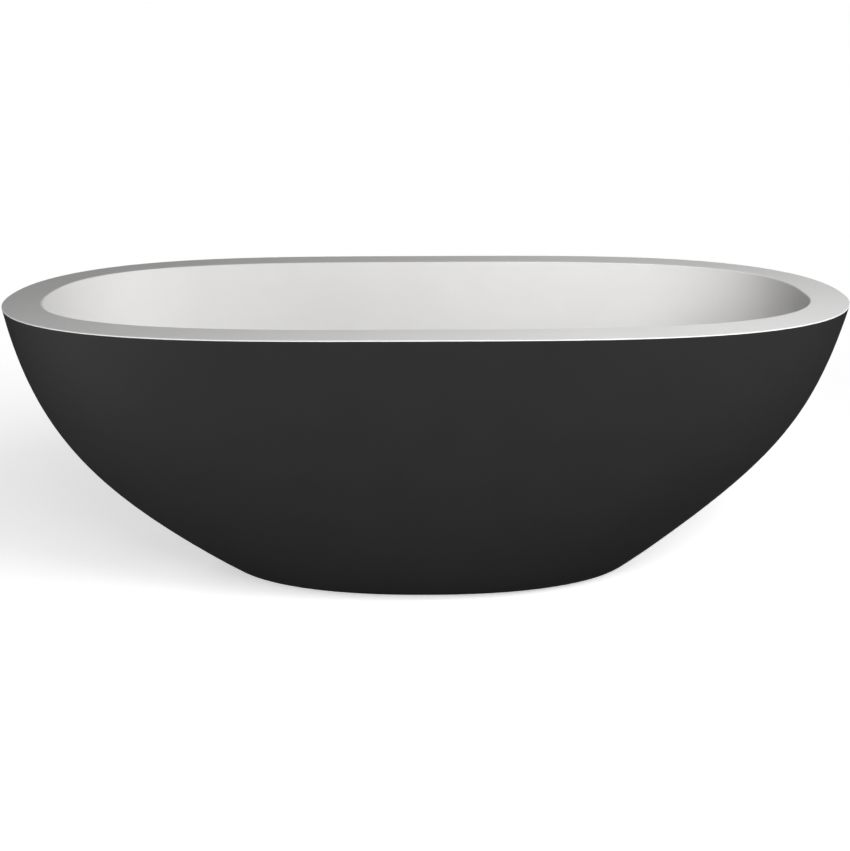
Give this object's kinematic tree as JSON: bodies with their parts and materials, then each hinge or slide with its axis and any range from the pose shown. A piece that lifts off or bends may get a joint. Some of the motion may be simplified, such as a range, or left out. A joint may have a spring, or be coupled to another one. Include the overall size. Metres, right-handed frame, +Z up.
{
  "type": "freestanding bathtub",
  "caption": "Freestanding oval bathtub: white stone-resin basin with a broad flat rim, set in a dark stone-resin shell that tapers to the floor, with click waste and hidden overflow",
  "frame": {"origin": "on the floor, under the middle of the rim's outline", "axes": "+X along the tub's length to the foot end, +Y across it to the far side (the overflow is in the near, -Y, wall), +Z up"},
  "size_m": [1.6996, 0.7792, 0.6],
  "materials": {
    "white_stone": "satin",
    "charcoal_stone": "matte",
    "bond": "matte",
    "board": "matte",
    "rubber": "matte",
    "frame_steel": "satin",
    "zinc_steel": "satin",
    "chrome": "polished",
    "brass": "satin",
    "grey_plastic": "satin",
    "black_plastic": "satin",
    "hose_plastic": "satin"
  },
  "bodies": {
    "root": {"basin": "white_stone", "outer_shell": "charcoal_stone", "rim_bond": "bond", "base_board": "board", "bearing_pads": "rubber", "frame_rail_front": "frame_steel", "frame_rail_back": "frame_steel", "weld_nuts": "zinc_steel", "lock_nuts": "zinc_steel", "bracket_bolts": "zinc_steel", "flange_screws": "zinc_steel", "waste_flange": "chrome", "waste_gasket": "rubber", "waste_lower_gasket": "rubber", "waste_body": "grey_plastic", "click_cartridge": "brass", "plug_spring": "zinc_steel", "overflow_body": "grey_plastic", "overflow_outer_gasket": "rubber", "overflow_inner_gasket": "rubber", "overflow_ring": "grey_plastic", "overflow_cover": "chrome", "overflow_hose": "hose_plastic", "hose_clips": "zinc_steel", "frame_cross_1": "frame_steel", "frame_cross_2": "frame_steel", "frame_cross_3": "frame_steel", "frame_cross_4": "frame_steel", "shell_bracket_front_left": "zinc_steel", "shell_bracket_front_right": "zinc_steel", "shell_bracket_back_left": "zinc_steel", "shell_bracket_back_right": "zinc_steel"},
    "plug": {"plug_cap": "chrome", "plug_stem": "brass", "plug_seal": "rubber"},
    "foot_front_left": {"foot_cup_front_left": "black_plastic", "foot_sole_front_left": "rubber"},
    "screw_front_left": {"foot_stud_front_left": "zinc_steel"},
    "foot_front_right": {"foot_cup_front_right": "black_plastic", "foot_sole_front_right": "rubber"},
    "screw_front_right": {"foot_stud_front_right": "zinc_steel"},
    "foot_back_left": {"foot_cup_back_left": "black_plastic", "foot_sole_back_left": "rubber"},
    "screw_back_left": {"foot_stud_back_left": "zinc_steel"},
    "foot_back_right": {"foot_cup_back_right": "black_plastic", "foot_sole_back_right": "rubber"},
    "screw_back_right": {"foot_stud_back_right": "zinc_steel"}
  },
  "joints": [
    {"name": "plug_press", "type": "slide", "parent": "root", "child": "plug", "axis": [0, 0, 1], "range_m": [-0.009, 0], "stiffness_N_per_m": 600, "springref_m": 0.01, "deforming": ["plug_spring"]},
    {"name": "foot_drop_front_left", "type": "slide", "parent": "root", "child": "foot_front_left", "axis": [0, 0, -1], "range_m": [-0.0005, 0.015]},
    {"name": "foot_turn_front_left", "type": "hinge", "parent": "foot_front_left", "child": "screw_front_left", "pos_m": [-0.24, -0.082, 0.05], "axis": [0, 0, -1], "range_deg": [-105, 3090]},
    {"name": "foot_drop_front_right", "type": "slide", "parent": "root", "child": "foot_front_right", "axis": [0, 0, -1], "range_m": [-0.0005, 0.015]},
    {"name": "foot_turn_front_right", "type": "hinge", "parent": "foot_front_right", "child": "screw_front_right", "pos_m": [0.24, -0.082, 0.05], "axis": [0, 0, -1], "range_deg": [-105, 3090]},
    {"name": "foot_drop_back_left", "type": "slide", "parent": "root", "child": "foot_back_left", "axis": [0, 0, -1], "range_m": [-0.0005, 0.015]},
    {"name": "foot_turn_back_left", "type": "hinge", "parent": "foot_back_left", "child": "screw_back_left", "pos_m": [-0.24, 0.082, 0.05], "axis": [0, 0, -1], "range_deg": [-105, 3090]},
    {"name": "foot_drop_back_right", "type": "slide", "parent": "root", "child": "foot_back_right", "axis": [0, 0, -1], "range_m": [-0.0005, 0.015]},
    {"name": "foot_turn_back_right", "type": "hinge", "parent": "foot_back_right", "child": "screw_back_right", "pos_m": [0.24, 0.082, 0.05], "axis": [0, 0, -1], "range_deg": [-105, 3090]}
  ],
  "couplings": [
    {"joint": "foot_turn_front_left", "follows": "foot_drop_front_left", "rad_per_m": 3590.4},
    {"joint": "foot_turn_front_right", "follows": "foot_drop_front_right", "rad_per_m": 3590.4},
    {"joint": "foot_turn_back_left", "follows": "foot_drop_back_left", "rad_per_m": 3590.4},
    {"joint": "foot_turn_back_right", "follows": "foot_drop_back_right", "rad_per_m": 3590.4}
  ]
}
